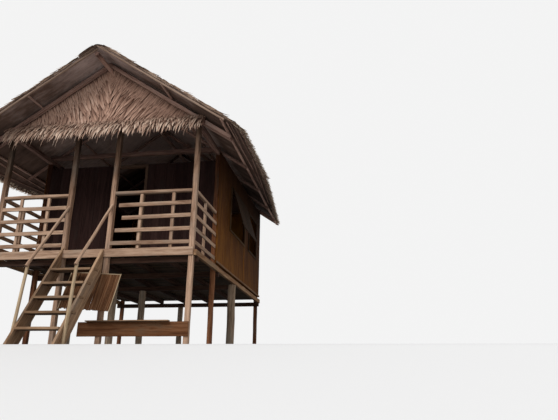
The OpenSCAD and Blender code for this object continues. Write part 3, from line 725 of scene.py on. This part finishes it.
class Leaves(Heap):
    """A heap of palm leaves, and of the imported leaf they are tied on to."""

    sharp_from = math.radians(60)

    def scatter(self, first, last, pitch, spread):
        """Places at that pitch from first to last, each a little off."""
        spots = np.arange(first, last, pitch)
        return spots + self.luck.normal(0, spread, len(spots))

    def pack(self, rings, grain, tone, uneven=0.003):
        """A body of packed leaf drawn through rings of points. The first half of each ring
        is its upper side and the second half its lower side, back the other way."""
        count, round_it = rings.shape[:2]
        spots = rings.reshape(-1, 3)
        bumps = np.array([noise.noise_vector(Vector(spot) * 7) for spot in spots]) * uneven
        ends = [[n, n + 1, round_it - 2 - n, round_it - 1 - n] for n in range(round_it // 2 - 1)]
        faces = [[end * (count - 1) * round_it + corner for corner in quad[::1 if end else -1]]
                 for end in (0, 1) for quad in ends]
        turns = [(round_it * k, n, (n + 1) % round_it)
                 for k in range(count - 1) for n in range(round_it)]
        faces += [[at + n, at + round_it + n, at + round_it + m, at + m] for at, n, m in turns]
        self.add(spots + bumps, faces, grain.reshape(-1, 3), tone)
        self.marks["reach"].append(np.full(len(spots), 0.6))

    def lay(self, paths, out, width, fold=0.2, tip=0.35, tone=(0.0, 1.0)):
        """Leaves whose ribs follow the given paths, with their broad side looking out."""
        number, stations = paths.shape[:2]
        along = unit(np.gradient(paths, axis=1))
        side = unit(np.cross(along, np.broadcast_to(out, paths.shape)))
        up = np.cross(side, along)
        part = np.linspace(0, 1, stations)[None, :, None]
        half = width / 2 * self.luck.uniform(0.75, 1.2, (number, 1, 1))
        half = half * (1 - (1 - tip) * (np.maximum(part - 0.5, 0) * 2) ** 1.4)
        turn = self.luck.normal(0, 0.25, (number, 1, 1)) * part
        across = side * np.cos(turn) + up * np.sin(turn)
        rib = up * half * 2 * fold * self.luck.uniform(0.5, 1.3, (number, 1, 1)) * (1 - 0.4 * part)
        points = np.stack([paths - across * half, paths + rib, paths + across * half], axis=2)
        strides = np.linalg.norm(np.diff(paths, axis=1, prepend=paths[:, :1]), axis=2)
        grain = self.luck.uniform(0, 50, (number, 1, 1, 3)) + np.zeros((number, stations, 3, 3))
        grain[..., 0] += np.cumsum(strides, axis=1)[:, :, None]
        grain[..., 1] += half * np.array([-1, 0, 1])
        whole = stations * 3
        strip = np.array([[3 * k + n, 3 * k + n + 1, 3 * k + n + 4, 3 * k + n + 3]
                          for k in range(stations - 1) for n in range(2)])
        first = whole * np.arange(number)[:, None, None]
        self.gather(points.reshape(-1, 3), (first + strip).reshape(-1, 4).tolist(),
                    grain=grain.reshape(-1, 3),
                    tone=np.repeat(self.luck.uniform(*tone, number), whole),
                    reach=np.broadcast_to(part[..., None], (number, stations, 3, 1)).ravel())

    def hang(self, roots, down, out, length, width, lift=0.01, curl=0.0, sway=0.02, **looks):
        """Leaves tied at their roots that run down and rise off what is under them."""
        shape = (len(roots), 1, 1)
        luck = self.luck
        down = unit(np.broadcast_to(down, roots.shape))
        out = unit(np.broadcast_to(out, roots.shape))
        side = np.cross(down, out)
        part = np.linspace(0, 1, 4)[None, :, None]
        reach = length * luck.uniform(0.8, 1.1, shape) * part
        raised = lift * luck.uniform(0.4, 1.6, shape) * part \
            + curl * luck.uniform(-0.3, 1.5, shape) * part ** 2.5
        swung = sway * luck.normal(0, 1, shape) * part ** 2
        paths = roots[:, None] + down[:, None] * reach + out[:, None] * raised \
            + side[:, None] * swung
        self.lay(paths, out[:, None], width, **looks)


packed_leaf = leaf_finish("packed_leaf", (46, 34, 29), (105, 85, 75), (190, 169, 161),
                          (98, 82, 75), across=60.0)
roof_leaf = leaf_finish("roof_leaf", (80, 60, 50), (146, 120, 102), (198, 174, 152),
                        (134, 122, 112))
# The fringe leaf's pale colours are partly its own and partly painted light on its loose ends at
# the eave; its low "covered" share paints strong shade on the roots.
fringe_leaf = leaf_finish("fringe_leaf", (110, 86, 70), (192, 168, 144), (236, 218, 196),
                          (170, 150, 132), covered=0.4)
lap_starts = np.arange(0.19, eave_wide / run, course)
steps = np.concatenate([(0.0, 0.03, 0.06, 0.09, 0.12, 0.14),
                        ((lap_starts[:, None] + (0.0, 0.055, 0.11)) * run).ravel()])
lapped = np.concatenate([np.zeros(6), np.tile((0.0, 0.001, 0.003), len(lap_starts))])
# Painted light and shade on the underside of each slope, from the front verge back.
underside_tones = {-1: (0.7, 0.4, 0.7, 1.0, 1.6), 1: (0.9, 0.2, 1.1, 1.5, 1.5)}
for name, seed, side in (("left", 47, -1), ("right", 48, 1)):
    down = np.array((side * run, 0, -rise))
    out = np.array((side * rise, 0, run))
    front, back = verge_of[side] + 0.01, verge_back - 0.01

    body = Leaves(seed)
    y = np.arange(verge_of[side] + 0.008, verge_back, 0.05)
    x = np.minimum(steps, eave_at(y, side)[:, None] - 0.05 * run)
    upper = points_at(side * x, y[:, None], height(x, np.where(x < 0.36, 0.03, 0.018)))
    lower = points_at(side * x, y[:, None], height(x, 0.045 - lapped))
    rings = np.concatenate([upper, lower[:, ::-1]], axis=1)[::side]
    away = np.abs(rings[..., 0])
    # Painted light and shade on the underside: tones set along the roof, with a dark band just in
    # front of the gable and more light inside the house, lighter near the ridge, painted room
    # shade over the back of the room, and lower towards the eaves.
    tones = np.interp(rings[..., 1], (-2.8, -2.32, -2.25, -0.9, 0.4), underside_tones[side]) \
        + np.interp(away, (0.3, 0.9), (0.7, 0.0))
    painted_room_shade = np.interp(rings[..., 1], (0.7, 1.3), (0, 1)) * np.interp(away, (0.6, 0.9), (0, 1))
    tones = (tones - (tones + 0.4) * painted_room_shade) * np.interp(away, (1.6, 1.85), (1, 0.25))
    tones[:, :len(steps)] = 0.3
    body.pack(rings, points_at(away / run, rings[..., 1], 0), tones.ravel(), uneven=0.002)
    body.piece("thatch_body_" + name, packed_leaf, "palm_thatch", ["thatch_" + name])

    leaves = Leaves(seed + 10)
    for s in np.arange(eave_wide / run - 0.3, 0.36, -course):
        y = leaves.scatter(front, back, 0.03, 0.008)
        y = y[s * run < eave_at(y, side) - 0.22]
        x = (s + leaves.luck.normal(0, 0.012, len(y))) * run
        leaves.hang(points_at(side * x, y, height(x, 0.017)), down, out, 0.3, 0.042, lift=0.013,
                    curl=0.004, sway=0.015, fold=0.1)
    leaves.piece("thatch_leaves_" + name, roof_leaf, "palm_thatch")

    fringe = Leaves(seed + 20)
    for inset, length, deep, droop in ((0.26, 0.25, 0.034, 0.1), (0.2, 0.2, 0.026, 0.06),
                                       (0.14, 0.17, 0.018, 0.06), (0.1, 0.13, 0.012, 0.03)):
        y = fringe.scatter(front, back, 0.014, 0.006)
        x = (eave_at(y, side) / run - inset) * run
        fringe.hang(points_at(side * x, y, height(x, deep)), down - np.array((0, 0, droop)), out,
                    length, 0.02, lift=0.006, curl=-0.008, sway=0.03, fold=0.15, tip=0.12,
                    tone=(0.3, 1.6))
    fringe.piece("eave_fringe_" + name, fringe_leaf, "palm_thatch")

# Verges: the ends of the courses show along the open edges of the roof as thin layers of
# leaf, ragged where the wind has pulled at them.
edge_leaf = leaf_finish("verge_leaf", (84, 64, 54), (152, 126, 108), (200, 176, 156),
                        (150, 124, 106))
verge = Leaves(60)
for side in (-1, 1):
    for looks, y in ((-1, verge_of[side]), (1, verge_back)):
        for deep, length, loose in ((-0.004, 0.2, 0.02), (0.006, 0.26, 0.008),
                                    (0.018, 0.3, 0.006), (0.03, 0.26, 0.006)):
            x = verge.scatter(0.02, eave_at(y, side) - 0.2, 0.07, 0.04)
            roots = points_at(side * x, y + looks * verge.luck.uniform(-0.01, 0.01, len(x)),
                              height(x, deep + verge.luck.uniform(-0.004, 0.004, len(x))))
            verge.hang(roots, (side * run, 0, -rise), (0, looks, 0), length, 0.012, lift=0.004,
                       curl=loose, sway=loose, fold=0.1, tip=0.3, tone=(-0.3, 1.0))
verge.piece("verge_leaves", edge_leaf, "palm_thatch")

# Split stems laid along under the outer edge of the thatch, a hand apart, that stiffen the
# eave. They show pale under the shadow of the roof.
stems = Heap(49)
for side in (-1, 1):
    for inset, first, last in ((0.06, -2.70, -0.9), (0.06, -0.78, 2.2), (0.13, -2.74, -1.6),
                               (0.14, -1.5, 1.4), (0.20, -2.74, 0.3), (0.27, -2.74, -0.84)):
        y = np.array((first, last))
        x = eave_at(y, side) - inset
        pole(stems, *points_at(side * x, y, height(x, 0.056)), 0.018,
             stems.luck.uniform(0.2, 1.0), crook=0.006, sides=8)
stems.piece("eave_stems", pole_wood, "roof_pole")

# Ridge: a cap of packed leaf bent over the top of the roof, under leaves that hang down both
# slopes from it.
cap = Leaves(50)
x = np.linspace(-0.33, 0.33, 23)
y = np.arange(verge_of[1] + 0.01, verge_back, 0.06)
rings = points_at(np.concatenate([x, x[::-1]]), y[:, None],
                  np.concatenate([height(x, 0.012), height(x, 0.028)[::-1]]))
cap.pack(rings, rings, 0.4)
cap.piece("ridge_body", packed_leaf, "palm_thatch", ["ridge_cap"])
cap = Leaves(51)
for side in (-1, 1):
    for start, reach in ((0.16, 0.36), (0.08, 0.3), (0.0, 0.22), (-0.06, 0.14)):
        y = cap.scatter(verge_of[1] + 0.01, verge_back - 0.01, 0.03, 0.01)
        part = np.linspace(0, 1, 5)[None, :]
        end = start + (reach - start) * cap.luck.uniform(0.8, 1.1, (len(y), 1))
        x = start + (end - start) * part
        high = height(x, 0.012) + 0.012 * cap.luck.uniform(0.2, 1.2, (len(y), 1)) * part
        away = y[:, None] + cap.luck.normal(0, 0.02, (len(y), 1)) * part ** 2
        cap.lay(points_at(side * x, away, high), (0, 0, 1), 0.045, fold=0.12)
cap.piece("ridge_leaves", roof_leaf, "palm_thatch")

# Gables: a thin panel of packed leaf closes each one, under rows of long narrow leaves tied
# on along the rakes. Most hang square to the rake, the right half laps over the left, and
# the lowest rows on the left are combed the other way.
gable_leaf = leaf_finish("gable_leaf", (92, 62, 50), (190, 152, 132), (232, 200, 180),
                         (168, 138, 122), across=200.0, covered=0.7)
# The dark packed leaf behind the gable and skirt leaves partly paints the shade in the gaps
# between them.
gable_dark = leaf_finish("gable_body", (66, 46, 38), (114, 86, 74), (146, 116, 102),
                         (104, 84, 74), across=90.0)
gable_foot = 3.879
gable_peak = 5.061
gable_wide = 1.7
gable_thick = 0.012
row_depths = (1.26, 1.12, 0.98, 0.84, 0.7, 0.56, 0.42, 0.3, 0.2, 0.11, 0.04)
for name, seed, back, looks in (("front", 52, front_line, -1), ("back", 53, back_line, 1)):
    face = back + looks * gable_thick
    body = Leaves(seed)
    x = np.linspace(-gable_wide + 0.005, gable_wide - 0.005, 41)[:, None]
    high = np.maximum(gable_peak - np.abs(x) * rise / run - 0.004, gable_foot + 0.01)
    rings = points_at(x, (face, back, back, face),
                      np.where((True, True, False, False), high, gable_foot))[::-looks]
    body.pack(rings, rings[..., [2, 0, 1]], 0.4)
    body.piece("gable_body_" + name, gable_dark, "palm_thatch", ["gable_thatch_" + name])

    leaves = Leaves(seed + 10)
    for order, side in enumerate((-1, 1)):
        rake_way = np.array((side * run, 0, -rise))
        inward = np.array((-side * rise, 0, -run))
        for deep in row_depths:
            near = deep < 0.25
            away = leaves.scatter(-1.0, 2.1, 0.014 if near else 0.048, 0.009)[:, None]
            loose = leaves.luck.normal(0, 0.02, len(away))[:, None]
            roots = np.array((0, face + looks * 0.004 * order, gable_peak)) \
                + rake_way * away + inward * (deep + loose)
            under = gable_peak - 0.02 - np.abs(roots[:, 0]) * rise / run - roots[:, 2]
            keep = (side * roots[:, 0] > 0.01 - 0.11 * order) \
                & (roots[:, 2] > gable_foot + 0.04) & (under > 0)
            roots, under = roots[keep], under[keep]
            if not len(roots):
                continue
            x, z = roots[:, 0], roots[:, 2]
            lean = np.interp(x, (-0.1, 0.0, 0.08, 0.25, 0.4), (24, 12, -14, -24, -37)) \
                + np.where(x < 0.05, np.interp(z, (4.0, 4.2), (-42, 0)), 0)
            lean = np.radians(lean + leaves.luck.normal(0, 4, len(x)))
            # Painted light and shade: leaves close under the rakes are lighter, the left half
            # lighter and the right half darker.
            dim = np.interp(under, (0, 0.35), (0.35, 0.1)) \
                + np.interp(x, (-0.3, 0.3), (0.1, -0.25))
            leaves.hang(roots, points_at(np.sin(lean), 0, -np.cos(lean)), (0, looks, 0),
                        0.2 if near else 0.29, 0.016 if near else 0.044,
                        lift=0.006 if near else 0.02, curl=0.006, sway=0.01, fold=0.22,
                        tip=0.08, tone=(dim + (0.1 if near else -0.1),
                                        dim + (0.4 if near else 0.7)))
    leaves.piece("gable_leaves_" + name, gable_leaf, "palm_thatch")

# Skirt: long leaves hung in layers over the tie beam. On the left they are combed sideways
# and long, towards the right they hang short, with curled pale tips.
# Its low "covered" share paints shade on the roots of the skirt leaves, so the tips show pale.
skirt_leaf = leaf_finish("skirt_leaf", (96, 66, 52), (186, 152, 132), (240, 214, 192),
                         (176, 148, 128), across=200.0, covered=0.45)
skirt_wide = 1.86
body = Leaves(62)
outline = np.array(((-2.305, 3.875), (-2.35, 3.79), (-2.38, 3.68), (-2.36, 3.68),
                    (-2.31, 3.78), (-2.275, 3.79)))
rings = points_at(np.arange(-skirt_wide, skirt_wide + 0.01, 0.06)[:, None], *outline.T)
body.pack(rings, rings[..., [2, 0, 1]], 0.2, uneven=0.008)
body.piece("skirt_body", gable_dark, "palm_thatch", ["front_skirt"])


def combed(heap, last, pitch, y, z, length, droop, width, tone):
    """A layer of leaves that start out sideways and then curl over and hang."""
    x = heap.scatter(-skirt_wide + 0.08, last, pitch, pitch * 0.3)
    number = len(x)
    start = points_at(x, heap.luck.normal(y, 0.008, number), heap.luck.normal(z, 0.014, number))
    part = np.linspace(0, 1, 7)[None, :, None]
    bunch = 0.16 * np.sin(8.3 * x + 0.9) + 0.14 * np.sin(21.0 * x + 2.0)
    tall = np.interp(x, (-1.8, -0.9, 0.5, 1.7, 1.8), (1.3, 1.1, 0.95, 0.8, 0.5)) * (1 + bunch)
    reach = length * (tall * heap.luck.uniform(0.65, 1.2, number))[:, None, None]
    comb = np.interp(x, (-1.8, -1.2, -0.2, 0.8), (1.5, 0.9, 0.55, 0.25)) + 1.5 * bunch
    aside = -(comb + heap.luck.normal(0, 0.25, number))[:, None]
    forward = -heap.luck.uniform(0.15, 0.6, (number, 1))
    off = unit(points_at(aside, forward, -0.5))
    paths = start[:, None] + off * reach * (part - 0.35 * part ** 2) * 0.8
    paths[..., 2] -= (droop * reach * part ** 2)[..., 0]
    heap.lay(paths, (0, -1, 0.3), width, fold=0.3, tip=0.1, tone=tone)


skirt = Leaves(63)
for last, pitch, y, z, length, droop, width, tone in (
        (1.84, 0.03, -2.36, 3.69, 0.15, 0.5, 0.024, (-0.35, 0.45)),
        (1.84, 0.045, -2.375, 3.72, 0.17, 0.6, 0.03, (0.35, 1.15)),
        (1.84, 0.045, -2.36, 3.77, 0.18, 0.5, 0.032, (0.15, 1.15)),
        (1.84, 0.03, -2.335, 3.83, 0.18, 0.4, 0.026, (0.05, 0.95)),
        (1.84, 0.016, -2.31, 3.89, 0.17, 0.25, 0.018, (0.15, 0.75)),
        (1.76, 0.1, -2.39, 3.68, 0.17, 0.9, 0.01, (0.1, 1.0))):
    combed(skirt, last, pitch, y, z, length, droop, width, tone)
skirt.piece("skirt_leaves", skirt_leaf, "palm_thatch")

# Base board: a reddish plank on edge across the feet of the front posts, under a thin cap.
red_wood = wood("red_plank", (66, 38, 24), (102, 66, 42), (126, 88, 62), (100, 80, 62),
                wear=0.35, checks=0.4)
plank = Heap(54)
board(plank, (-0.02, -2.281, 0.315), (1.77, -2.281, 0.315), (0, -1, 0), 0.22, 0.022, 0.6)
plank.piece("base_plank", red_wood, "red_board", ["base_board"])
plank = Heap(55)
board(plank, (0.13, -2.3175, 0.434), (1.47, -2.3175, 0.434), (0, 0, 1), 0.095, 0.018, 0.6)
plank.piece("base_cap", step_wood, "red_board")

# Reed screen: thin reeds side by side in a light frame of split stem. It leans on the right
# stair post and hangs a little askew.
reed_wood = wood("dry_reed", (60, 36, 24), (112, 76, 52), (150, 114, 84), (112, 92, 74),
                 wear=0.3, checks=0.3)
askew = Matrix.Rotation(math.radians(4), 3, "Y")
lean = math.radians(18)
screen_right, screen_down, screen_out = (np.array(askew @ Vector(way)) for way in (
    (1, 0, 0), (0, -math.sin(lean), -math.cos(lean)), (0, -math.cos(lean), math.sin(lean))))
screen_top = np.array((-0.24, -2.27, 1.225))
screen_wide = 0.86
screen_tall = 0.65
reeds = Heap(56)
for count, across in enumerate(np.arange(0.006, screen_wide - 0.012, 0.0085)):
    top = screen_top + screen_right * across + screen_out * (0.005 + 0.005 * (count % 2))
    long = reeds.luck.choice((0.645, 0.64, 0.63))
    pole(reeds, top, top + screen_down * long + screen_right * reeds.luck.normal(-0.003, 0.001),
         0.0125, reeds.luck.uniform(0.1, 1.0), taper=0.0, crook=0.0012, sides=6, step=0.13)
reeds.piece("screen_reeds", reed_wood, "reed", ["reed_screen"])
strips = Heap(57)
for start, end in (((0, 0.01), (screen_wide, 0.01)),
                   ((screen_wide - 0.007, 0), (screen_wide - 0.007, screen_tall)),
                   ((0.007, 0), (0.007, screen_tall))):
    ends = [screen_top + screen_right * x + screen_down * z + screen_out * 0.018
            for x, z in (start, end)]
    board(strips, *ends, screen_out, 0.014, 0.008, 0.6)
strips.piece("screen_frame", stick_wood, "reed")


# Studio: a pale floor that bends down towards the camera like the slope the house looks
# over, one soft lamp high in front of the house and an even sky.
def lit_or_shown(finish, lit, shown):
    """One grey for what it lights, and a paler one for the camera."""
    return finish.mix(finish.node("ShaderNodeLightPath"), (lit, lit, lit, 1),
                      (shown, shown, shown, 1))


downhill = math.radians(17)
bend_from, bend_round = -3.45, 1.2
floor_wide, floor_back, floor_ahead = 60, 60, 40
bend = [(floor_back, 0.0), (bend_from, 0.0)]
for turn in np.linspace(0, downhill, 9)[1:]:
    bend.append((bend_from - bend_round * math.sin(turn), -bend_round * (1 - math.cos(turn))))
bend.append((bend[-1][0] - floor_ahead * math.cos(downhill),
             bend[-1][1] - floor_ahead * math.sin(downhill)))
floor_mesh = bpy.data.meshes.new("studio_floor")
floor_mesh.from_pydata([(x, y, z - 0.001) for y, z in bend for x in (-floor_wide, floor_wide)],
                       [], [[2 * k, 2 * k + 1, 2 * k + 3, 2 * k + 2]
                            for k in range(len(bend) - 1)])
floor_mesh.shade_smooth()
pale = Finish(bpy.data.materials.new("pale_floor"), rough=0.9)
pale.feed("Base Color", lit_or_shown(pale, 0.5, 0.86))
floor_mesh.materials.append(pale.owner)
floor = placed("studio_floor", floor_mesh)

lamp = placed("lamp", bpy.data.lights.new("lamp", "SUN"))
lamp.data.angle = math.radians(40)
lamp.data.energy = 1.9
lamp.rotation_euler = Vector((0.35, 0.8, -0.7)).to_track_quat("-Z", "Y").to_euler()
bpy.context.scene.world = bpy.data.worlds.new("studio")
sky = Finish(bpy.context.scene.world, "Background")
sky.feed("Color", lit_or_shown(sky, 0.55, 0.9))
bpy.context.scene.view_settings.view_transform = "Standard"
